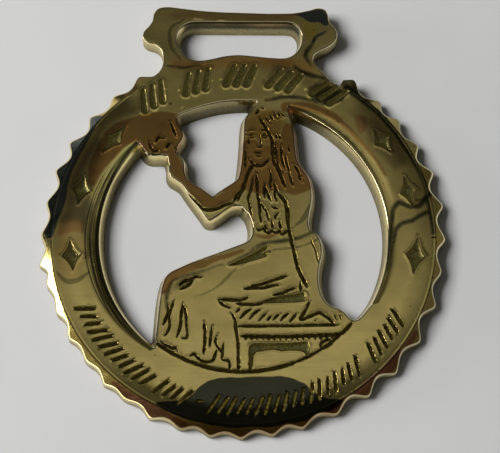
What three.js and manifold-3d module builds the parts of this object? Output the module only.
// Horse brass: a round openwork plate with a scalloped edge, a strap hanger on
// top and, in the middle, a seated maiden, all one flat-backed brass casting.
// Millimetres, +Z up, lying on its back with the polished face up.
import * as THREE from 'three';
import { mergeVertices } from 'three/addons/utils/BufferGeometryUtils.js';
import Module from 'manifold-3d';

// ---------- driving dimensions ----------
const R_TIP = 40.0;          // mean radius of the scallop tips of the round plate
const SCALLOP_POINT = 0.35;  // roundness of the tips, 0 is a sharp cusp
const R_SHOULDER = 38.4;     // outer bevel meets the band
const Z_SHOULDER = 2.9;
const Z_TIP = 0.8;           // thickness at a scallop's tip
const Z_FACE = 4.4;          // polished face above the back
const Z_RIM = 3.7;           // inner rim of the ring, below its bevel
const R_IN = 28.4;           // inner rim
const BEVEL_MIN = 0.8;       // width of the ring's inner bevel where the figure meets it
const BEVEL_LEFT = 3.0;      // and at its widest, left and right
const BEVEL_RIGHT = 2.4;
const DRAFT = 0.84;          // the opening walls close in this much towards the back
const DRAFT_ARM = 0.65;      // the arm's and hand's walls spread this much
const DRAFT_OUT = 0.05;      // the hanger's outer walls
const ROUND = 0.42;          // buffed edge of the figure and hanger
const Z_BELOW = -1;          // cutters run on below the back

// the hanger grows out of the ring between these bearings, without scallops
const HANGER_FOOT = [60, 118];

// the hand-filed scallops: bearing of the tip in degrees from +X, its radius, and the depth of the scallop after it
const TIPS = [
  [0.1, 39.85, 1.52], [10.3, 40.25, 1.53], [20.6, 40.4, 1.68], [29.8, 40.25, 1.48], [39.1, 40.2, 1.59], [46.9, 40.1, 1.74], [56.3, 39.9, 1.65],
  [65.6, 40, 1.45], [75, 40, 1.47], [84.4, 40, 1.41], [93.8, 40, 1.54], [103.4, 40, 1.4], [113, 40, 1.58], [122.5, 39.8, 1.4],
  [131.5, 40, 1.5], [140.5, 40.35, 1.52], [150.1, 40.5, 1.37], [159.4, 40.3, 1.5], [169.4, 39.95, 1.15], [179.1, 40.1, 0.75], [187.9, 40.6, 0.76],
  [194.4, 39.8, 0.95], [202.9, 39.6, 1.31], [211.3, 39.7, 1.14], [219.5, 39.5, 1.03], [227.9, 40.05, 0.57], [234.8, 39.8, 0.7], [243.7, 40.4, 0.59],
  [252.6, 40.1, 0.84], [261.1, 40.1, 0.78], [269.7, 40, 1.1], [278.5, 39.8, 1.24], [287.1, 39.7, 1.46], [297.4, 39.65, 1.76], [307.7, 39.95, 1.56],
  [317.8, 40.2, 1.32], [329.2, 40.25, 1.76], [340.3, 40.05, 1.51], [350.2, 39.5, 1.74],
];

// hanger: right and left outlines from the top middle down into the ring
const HANGER_R = [[5, 47.75], [10, 47.9], [13, 48.5], [15, 49], [16.4, 48.6], [16.95, 47.4], [17.2, 46], [18.1, 44.9],
  [18.75, 43.6], [18.6, 42.1], [17.3, 40.7], [15.4, 39.7], [14.1, 38.7], [13.85, 37.4], [14.8, 36], [16.1, 34.6], [17.3, 33.1], [19, 32]];
const HANGER_L = [[-4.5, 48], [-9, 48.3], [-13, 48.8], [-16, 49.1], [-17.8, 48.7], [-18.7, 47.4], [-18.9, 46], [-19.6, 44.8],
  [-20.6, 43.6], [-20.8, 42.3], [-20, 41.2], [-18.4, 40.7], [-17.2, 39.8], [-16.65, 38.2], [-16.65, 36.3], [-17.4, 34.7], [-18.7, 33.4], [-20.6, 32.2]];
// strap slot: a straight bar edge on top, the rest one spline
const SLOT_TOP = 45.5;
const SLOT_BAR = [-10.2, 8.6];
const SLOT = [[9.9, 45.15], [10.9, 44.2], [11.45, 42.9], [11.45, 41.5], [11, 40.2], [10.2, 39.1], [9.2, 38.35], [8, 38],
  [5, 38.1], [2, 38.4], [-1.2, 38.65], [-4, 38.4], [-6.5, 37.8], [-8.8, 37.4], [-10.7, 37.55], [-12.2, 38.4], [-13.3, 40],
  [-13.8, 41.8], [-13.4, 43.5], [-12.5, 44.6], [-11.4, 45.25]];

// the maiden, as five overlapping plates with drafted walls
const TORSO = [[6, 31], [3, 30], [2.3, 28], [1.2, 26.5], [0.15, 25], [-0.2, 23], [-0.3, 20.5], [-0.45, 18], [-0.65, 15.5], [-0.9, 13],
  [-0.6, 10], [-0.2, 7.5], [0.2, 5.6], [0.75, 4.7], [1.2, 3.7], [1.55, 2.4], [1.7, 1.2], [2.4, -1.5], [6, -4], [11, -3], [13.1, 0],
  [12.97, 3.2], [13.2, 5], [13.55, 6.8], [13.7, 8.6], [13.45, 10.8], [12.9, 12.6], [11.9, 14.1], [11, 15.5], [10.55, 17.2], [10.3, 19.2],
  [10.1, 21.5], [9.7, 24], [9.1, 26], [8.9, 28], [9.5, 30]];
const SKIRT = [[3, 3], [1.75, 1.3], [1.6, 0.4], [1.15, -0.45], [0.3, -1.15], [-1.6, -1.95], [-4.5, -3.1], [-7.5, -4.25], [-10.3, -5.35],
  [-12.6, -6.45], [-14.3, -7.35], [-15.3, -8.4], [-15.85, -10], [-16.35, -13], [-16.65, -16.5], [-16.9, -20], [-17.1, -22.3], [-18, -24.2]];
const SKIRT_R = [[27.6, -13.8], [25.4, -13.7], [23.7, -15.3], [22.6, -16.5], [21.6, -16.85], [20.7, -16.4], [19.9, -15.4], [18.8, -14.6], [17.2, -14],
  [16, -12.9], [15.3, -11.4], [14.95, -9.6], [14.9, -7.6], [15.15, -5.6], [15.55, -3.9], [15.6, -2.3], [15.2, -0.7], [14.5, 0.55], [13.6, 1.25],
  [12.4, 1.7], [8, 3]];
const R_BASE = 32.6;         // the figure's base runs into the ring as far as this
const BASE_ARC = [-126.5, -27];
const UPPER_ARM = [[5, 14], [1, 14], [-0.85, 13.3], [-1.25, 12.2], [-2.3, 11.2], [-3.7, 10.25], [-5.1, 9.3], [-6.2, 8.35], [-7.4, 7], [-7.7, 5],
  [-7.3, 3.35], [-6.6, 3.15], [-5.6, 3.65], [-4.3, 4.55], [-3.2, 5.4], [-2.3, 5.95], [-1.3, 6.15], [-0.4, 5.9], [0.5, 5.1], [4, 5]];
const FOREARM = [[-4.9, 7.3], [-6.15, 8.3], [-7.3, 9.25], [-8.5, 10.15], [-9.8, 10.85], [-10.8, 11.6], [-11.45, 12.6], [-11.7, 13.8], [-11.75, 15.2],
  [-12.3, 16.4], [-13.2, 17.4], [-14, 19], [-15.7, 18.5], [-15.4, 16.2], [-15.05, 14.5], [-15, 12.9], [-14.5, 11.95], [-13.4, 11.25], [-12.4, 10.5],
  [-11.4, 9], [-10.3, 7.4], [-9.1, 5.75], [-8.1, 4.35], [-7.3, 3.35], [-6.4, 3.3]];
const HAND = [[-12, 27.5], [-13.4, 25], [-13.15, 23.5], [-12.4, 22.2], [-12.05, 21.1], [-12.3, 20.1], [-12.95, 19.1], [-13.35, 18], [-14.2, 16.9],
  [-15.6, 16.5], [-17, 16.6], [-18.3, 16.5], [-19.3, 16.85], [-20.1, 17.7], [-20.7, 18.7], [-21.5, 20], [-23, 22], [-21.5, 25], [-17, 28]];

// sunk lozenges on the band: centre, bearing, half length, half width
const LOZENGES = [[-26, 20.2, 52, 3.7, 1.65], [-32.2, 9.4, 79, 3.05, 1.85], [-33.7, -4.1, 97, 3.2, 2],
  [27.6, 20.2, 124.5, 3.1, 1.7], [32.7, 9.5, 105.5, 3.4, 1.75], [33.8, -3.8, 82, 3.85, 1.95]];
const LOZENGE_DEPTH = 0.8;

// rows of slanted strokes: five sunk groups over the head
const TOP_GROUPS = [[-18.4, 29.4, 30], [-9.6, 32.6, 16], [-0.9, 34, 0], [8, 33, -15], [17, 30.4, -31]];
const TOP_STROKE = { length: 5.4, width: 1.15, pitch: 2.05, slant: 24, depth: 0.75 };

// carved recesses of the bench and dress, and the grooves drawn round them
const POCKETS = [
  // shadow under the bench seat
  [0.7, [[1.3, -26.4], [1.15, -23.4], [1.35, -22.3], [2.2, -21.8], [5, -21.9], [9, -21.8], [12.6, -21.45], [12.95, -22.3], [12.7, -23.9],
    [12.3, -24.2], [12, -23.45], [10.8, -23.15], [9, -23.1], [7.5, -23.3], [6, -22.95], [4.8, -23.1], [3.4, -23.35], [2.6, -23.4], [2.05, -24.2], [1.9, -26.4]]],
  // underside of the seat drapery
  [0.6, [[3.2, -13.75], [5, -13.15], [6.6, -12.5], [8.2, -12.15], [10.2, -12], [11.9, -11.4], [12.35, -12.1], [12.3, -13.2], [10, -13.45], [6.5, -13.6]]],
  // sash end across the lap
  [0.6, [[-2.9, -6.1], [-0.6, -5.0], [1.8, -3.8], [3.6, -2.6], [4.6, -1.9], [4.4, -2.7], [3.8, -3.3], [4.9, -3.5], [4.4, -4.2], [2.6, -4.8], [0.6, -5.4], [-1.4, -6.0]]],
];
const GROOVES = [
  // [half width, depth, path]
  [0.3, 0.45, [[1.7, 14.6], [0.8, 12.6], [0, 10.6], [-1.1, 8.9], [-1.9, 7.4]]],
  [0.28, 0.45, [[1.6, 11], [1.6, 9.5], [1, 8], [1.2, 6], [1.6, 4]]],
  [0.3, 0.5, [[2.6, 12.8], [2.7, 10], [2.9, 7.5], [3.2, 5], [3.4, 3]]],
  [0.32, 0.55, [[4.1, 10.6], [4.4, 8.8], [4.1, 6.6], [4.6, 4.8], [5, 3.2]]],
  [0.4, 0.6, [[6.1, 11.2], [6.6, 9.6], [7.6, 8], [8.3, 6], [8.7, 4], [9, 2], [9.4, 0], [9.9, -2.4], [10.3, -5], [11, -7.2], [11.9, -9.2]]],
  [0.35, 0.5, [[2.7, 1.5], [4.4, 1.9], [5.2, 0.9], [6, 1.6], [7.4, 0.7], [8.6, 1.4]]],
  [0.34, 0.5, [[3.2, 24.8], [4.4, 22.8], [5.3, 21], [5.7, 19], [5.8, 17], [6.1, 15.2], [6.9, 13.8], [7.7, 12.2], [8, 10.6]]],
  [0.28, 0.4, [[6.6, 18.8], [6.7, 16], [7, 14]]],
  [0.28, 0.4, [[7.6, 18.8], [7.8, 16], [8.2, 13.6]]],
  [0.34, 0.5, [[1.6, -10.3], [4, -10], [6, -9.2], [8.4, -8.1]]],
  [0.34, 0.5, [[-4.9, -13.1], [-2, -13.2], [1, -12.6]]],
  [0.34, 0.5, [[-1, -13.9], [1.8, -13.9], [4, -13.6]]],
  [0.34, 0.5, [[-2.1, -16], [-1.5, -18.2], [-0.9, -20.4], [-0.7, -23], [-0.65, -25.4], [-0.6, -27.6]]],
  [0.3, 0.45, [[-0.9, -18.35], [6, -18.3], [12, -18.1], [18.6, -17.95]]],
  [0.38, 0.5, [[0, -20.6], [6, -20.5], [12, -20.4], [15.6, -20], [18.6, -19.8], [20, -18.6], [21.1, -17.6]]],
  [0.3, 0.45, [[12.9, -13.5], [12, -15.2], [11.1, -17], [13, -16.5], [14.8, -15.8], [16.2, -16.5], [17.6, -17.7]]],
  [0.3, 0.45, [[-14.3, -14], [-14.5, -16.5], [-14, -18.6], [-15, -20.4]]],
  [0.3, 0.45, [[-12.7, -20.6], [-12, -17.5], [-11.7, -14.2], [-11.2, -16.4], [-11, -20.6]]],
  [0.36, 0.5, [[-7.5, -17.9], [-7.3, -21], [-7.6, -24.2]]],
  [0.32, 0.45, [[-6.1, -18.6], [-6.2, -22.4]]],
  [0.3, 0.45, [[-5, -20.2], [-4.7, -22.2], [-4, -24.4], [-2.7, -25.2], [-2.6, -27.2]]],
  [0.36, 0.5, [[-12.4, -10.8], [-11.6, -9.8], [-10.4, -9.1]]],
];
// the ring's inner circle is drawn on across the base
const R_DRAWN = 27.45;
const DRAWN_ARC = [-128, -62];
const DRAWN = [0.34, 0.45];

// ---------- helpers ----------
const wasm = await Module();
wasm.setup();
const rad = (d) => (d * Math.PI) / 180;
const V2 = (p) => new THREE.Vector2(p[0], p[1]);

function toSolid(positions, index) {
  const g = new THREE.BufferGeometry();
  g.setAttribute('position', new THREE.Float32BufferAttribute(positions, 3));
  g.setIndex(index);
  const m = mergeVertices(g, 1e-5);
  return new wasm.Manifold(new wasm.Mesh({
    numProp: 3,
    vertProperties: Float32Array.from(m.attributes.position.array),
    triVerts: Uint32Array.from(m.index.array),
  }));
}

// points along a smooth curve through the given ones
function spline(points, step, closed) {
  const c = new THREE.CatmullRomCurve3(points.map((p) => new THREE.Vector3(p[0], p[1], 0)), closed, 'centripetal');
  const n = Math.max(4, Math.round(c.getLength() / step));
  const out = c.getSpacedPoints(n).map((p) => new THREE.Vector2(p.x, p.y));
  if (closed) out.pop();
  return out;
}

function arc(r, a0, a1, n) {
  return Array.from({ length: n + 1 }, (_, i) => {
    const a = rad(a0 + ((a1 - a0) * i) / n);
    return new THREE.Vector2(r * Math.cos(a), r * Math.sin(a));
  });
}

function ccw(loop) {
  return THREE.ShapeUtils.isClockWise(loop) ? loop.slice().reverse() : loop;
}

// the loop moved outwards by d along its vertex normals
function offset(loop, d) {
  const n = loop.length;
  return loop.map((p, i) => {
    const a = loop[(i + n - 1) % n];
    const b = loop[(i + 1) % n];
    const t = b.clone().sub(a).normalize();
    return new THREE.Vector2(p.x + t.y * d, p.y - t.x * d);
  });
}

// a closed body through rows of equal loops, [loop, z] from the bottom up
function loft(rows) {
  const n = rows[0][0].length;
  const positions = rows.flatMap(([loop, z]) => loop.flatMap((p) => [p.x, p.y, z]));
  const index = [];
  for (let r = 0; r + 1 < rows.length; r++) {
    for (let i = 0; i < n; i++) {
      const j = (i + 1) % n;
      const [a, b, c, d] = [r * n + i, r * n + j, (r + 1) * n + j, (r + 1) * n + i];
      index.push(a, b, c, a, c, d);
    }
  }
  const top = (rows.length - 1) * n;
  for (const [a, b, c] of THREE.ShapeUtils.triangulateShape(rows[0][0], [])) index.push(a, c, b);
  for (const [a, b, c] of THREE.ShapeUtils.triangulateShape(rows[rows.length - 1][0], [])) index.push(top + a, top + b, top + c);
  return toSolid(positions, index);
}

// a plate with drafted walls and a buffed top edge
function plate(loop, draft, zTop = Z_FACE) {
  const l = ccw(loop);
  return loft([[offset(l, draft), 0], [l, zTop - ROUND], [offset(l, -ROUND * 0.9), zTop]]);
}

// what is taken out of a plate: wide above, narrow towards the back
function opening(loop, draft) {
  const l = ccw(loop);
  const k = (Z_FACE - ROUND - Z_BELOW) / (Z_FACE - ROUND);
  return loft([[offset(l, -draft * k), Z_BELOW], [l, Z_FACE - ROUND], [offset(l, ROUND), Z_FACE], [offset(l, ROUND), Z_FACE + 1]]);
}

// a sunk recess with sloping sides and a flat floor
function pocket(loop, depth, slope) {
  const l = ccw(loop);
  return loft([[offset(l, -slope), Z_FACE - depth], [offset(l, slope / depth), Z_FACE + 1]]);
}

// a V-shaped groove, tapering at both ends
function groove(path, half, depth) {
  const up = 0.4;
  const n = path.length;
  const positions = [];
  const index = [];
  path.forEach((p, i) => {
    const a = path[Math.max(0, i - 1)];
    const b = path[Math.min(n - 1, i + 1)];
    const t = b.clone().sub(a).normalize();
    const k = i === 0 || i === n - 1 ? 0.35 : 1;
    const w = half * k * (1 + up / depth);
    positions.push(p.x - t.y * w, p.y + t.x * w, Z_FACE + up, p.x + t.y * w, p.y - t.x * w, Z_FACE + up, p.x, p.y, Z_FACE - depth * k);
  });
  for (let i = 0; i + 1 < n; i++) {
    const a = i * 3;
    for (const [u, v] of [[0, 1], [1, 2], [2, 0]]) index.push(a + v, a + 3 + u, a + u, a + v, a + 3 + v, a + 3 + u);
  }
  const e = (n - 1) * 3;
  index.push(0, 2, 1, e, e + 1, e + 2);
  let s = toSolid(positions, index);
  if (s.volume() < 0) s = toSolid(positions, index.slice().reverse());
  return s;
}

// ---------- the ring ----------
const R_PLAIN = 37;          // ring under the hanger

// width of the inner bevel: it fades where hand, head and base join the ring
function bevel(a) {
  const left = (a - 133) / 101;
  const right = (72 - (a > 180 ? a - 360 : a)) / 108;
  if (left > 0 && left < 1) return BEVEL_MIN + (BEVEL_LEFT - BEVEL_MIN) * Math.sin(Math.PI * left);
  if (right > 0 && right < 1) return BEVEL_MIN + (BEVEL_RIGHT - BEVEL_MIN) * Math.sin(Math.PI * right ** 0.7);
  return BEVEL_MIN;
}

// how far the domed band is levelled up into the hanger's flat foot
function footLevel(a) {
  const x = Math.min(Math.max(Math.min((a - 46) / 12, (134 - a) / 12), 0), 1);
  return x * x * (3 - 2 * x);
}

const wave = (u) => (Math.hypot(Math.sin(Math.PI * u), SCALLOP_POINT) - SCALLOP_POINT) / (Math.hypot(1, SCALLOP_POINT) - SCALLOP_POINT);

function ring() {
  const columns = [];
  TIPS.forEach(([a0, r0, depth], i) => {
    const [a1, r1] = i + 1 < TIPS.length ? TIPS[i + 1] : [TIPS[0][0] + 360, TIPS[0][1]];
    const plain = a0 >= HANGER_FOOT[0] && a1 <= HANGER_FOOT[1];
    for (const u of plain ? [0, 0.5] : [0, 0.15, 0.37, 0.63, 0.85]) {
      const a = a0 + (a1 - a0) * u;
      const tip = r0 + (r1 - r0) * u;
      const edge = plain && !(u === 0 && a0 < HANGER_FOOT[0] + 8) ? R_PLAIN : tip - (depth + tip - R_TIP) * wave(u);
      const shoulder = Math.min(R_SHOULDER, edge - 0.08);
      const level = footLevel(a);
      const zShoulder = Z_SHOULDER + (Z_FACE - 0.2 - Z_SHOULDER) * level;
      const zEdge = Z_TIP + ((Z_SHOULDER - Z_TIP) * (tip - edge)) / (tip - R_SHOULDER);
      const w = bevel(a);
      const profile = [
        [R_IN - DRAFT, 0], [R_IN, Z_RIM], [R_IN + w * 0.3, Z_RIM + (Z_FACE - Z_RIM) * 0.6], [R_IN + w, Z_FACE],
        [34.4, Z_FACE - 0.02], [Math.min(36.7, edge - 0.3), 3.9 + (Z_FACE - 3.9) * level],
        [shoulder, zShoulder], [edge - 0.03, Math.min(zEdge, zShoulder - 0.08)], [edge, 0],
      ];
      columns.push(profile.map(([r, z]) => [r * Math.cos(rad(a)), r * Math.sin(rad(a)), z]));
    }
  });
  const m = columns[0].length;
  const n = columns.length;
  const index = [];
  for (let i = 0; i < n; i++) {
    for (let k = 0; k < m; k++) {
      const [a, b] = [i * m + k, i * m + ((k + 1) % m)];
      const [c, d] = [((i + 1) % n) * m + ((k + 1) % m), ((i + 1) % n) * m + k];
      index.push(a, b, c, a, c, d);
    }
  }
  let s = toSolid(columns.flat(2), index);
  if (s.volume() < 0) s = toSolid(columns.flat(2), index.slice().reverse());
  return s;
}

// ---------- the hanger ----------
function hanger() {
  const left = spline(HANGER_L, 1.5, false);
  const right = spline(HANGER_R, 1.5, false);
  const foot = arc(33, HANGER_FOOT[1], HANGER_FOOT[0], 6);
  const outline = [...right.slice().reverse(), ...left, ...foot.slice(1, -1)];
  const slot = [new THREE.Vector2(SLOT_BAR[0], SLOT_TOP), new THREE.Vector2(SLOT_BAR[0] + 1, SLOT_TOP), new THREE.Vector2(SLOT_BAR[1] - 1, SLOT_TOP),
    ...spline([[SLOT_BAR[1], SLOT_TOP], ...SLOT, [SLOT_BAR[0], SLOT_TOP]], 1.3, false).slice(0, -1)];
  return [plate(outline, DRAFT_OUT), opening(slot, DRAFT)];
}

// ---------- the maiden and her bench ----------
function figure() {
  const base = arc(R_BASE, BASE_ARC[0], BASE_ARC[1], 30);
  const skirt = [...spline(SKIRT, 1.5, false), ...base.slice(1, -1), ...spline(SKIRT_R, 1.4, false)];
  return [TORSO, UPPER_ARM, FOREARM, HAND]
    .map((list) => plate(spline(list, 1.4, true), list === TORSO ? DRAFT : DRAFT_ARM))
    .reduce((a, b) => a.add(b), plate(skirt, DRAFT));
}

// ---------- carving ----------
function lozenge([x, y, bearing, long, wide]) {
  const corners = [[long, 0], [0, wide], [-long, 0], [0, -wide]];
  const loop = [];
  corners.forEach(([u, v], i) => {
    const [u2, v2] = corners[(i + 1) % 4];
    for (const k of [0, 0.25, 0.5, 0.75]) {
      const pull = 1 - 0.17 * Math.sin(Math.PI * k);
      const [a, b] = [(u + (u2 - u) * k) * pull, (v + (v2 - v) * k) * pull];
      const c = rad(bearing);
      loop.push(new THREE.Vector2(x + a * Math.cos(c) - b * Math.sin(c), y + a * Math.sin(c) + b * Math.cos(c)));
    }
  });
  return loop;
}

function bar(x, y, bearing, length, width) {
  const c = rad(bearing);
  const loop = [];
  for (let i = 0; i < 12; i++) {
    const a = (i / 12) * 2 * Math.PI;
    const u = Math.cos(a) * (width / 2) + (Math.sign(Math.cos(a)) * (length - width)) / 2;
    const v = Math.sin(a) * (width / 2) * (1 - 0.3 * (u / length + 0.5));
    loop.push(new THREE.Vector2(x + u * Math.cos(c) - v * Math.sin(c), y + u * Math.sin(c) + v * Math.cos(c)));
  }
  return loop;
}

function carving() {
  const cuts = LOZENGES.map((l) => pocket(lozenge(l), LOZENGE_DEPTH, 0.28));
  for (const [x, y, turn] of TOP_GROUPS) {
    for (const k of [-1, 0, 1]) {
      const s = TOP_STROKE;
      const c = rad(turn);
      cuts.push(pocket(bar(x + k * s.pitch * Math.cos(c), y + k * s.pitch * Math.sin(c), turn + 90 - s.slant, s.length, s.width), s.depth, 0.22));
    }
  }
  for (const [depth, list] of POCKETS) cuts.push(pocket(list.map(V2), depth, 0.16));
  for (const [half, depth, path] of GROOVES) cuts.push(groove(path.map(V2), half, depth));
  cuts.push(groove(arc(R_DRAWN, DRAWN_ARC[0], DRAWN_ARC[1], 18), DRAWN[0], DRAWN[1]));
  return cuts;
}

// ---------- the casting ----------
const [hangerPlate, slotHole] = hanger();
let brass = ring().add(hangerPlate).subtract(slotHole).add(figure());
for (const cut of carving()) brass = brass.subtract(cut);

const mesh = brass.getMesh();
const geometry = new THREE.BufferGeometry();
geometry.setAttribute('position', new THREE.BufferAttribute(Float32Array.from(mesh.vertProperties), 3));
geometry.setIndex(new THREE.BufferAttribute(Uint32Array.from(mesh.triVerts), 1));
geometry.computeBoundingBox();
const box = geometry.boundingBox;

const horseBrass = new THREE.Mesh(geometry, new THREE.MeshStandardMaterial({ color: 0x9a8450, roughness: 0.22, metalness: 1 }));
horseBrass.name = 'horse_brass';
// the middle of the outline stands over the origin, the back lies on z = 0
horseBrass.position.set(-(box.min.x + box.max.x) / 2, -(box.min.y + box.max.y) / 2, -box.min.z);

const group = new THREE.Group();
group.add(horseBrass);
export default group;
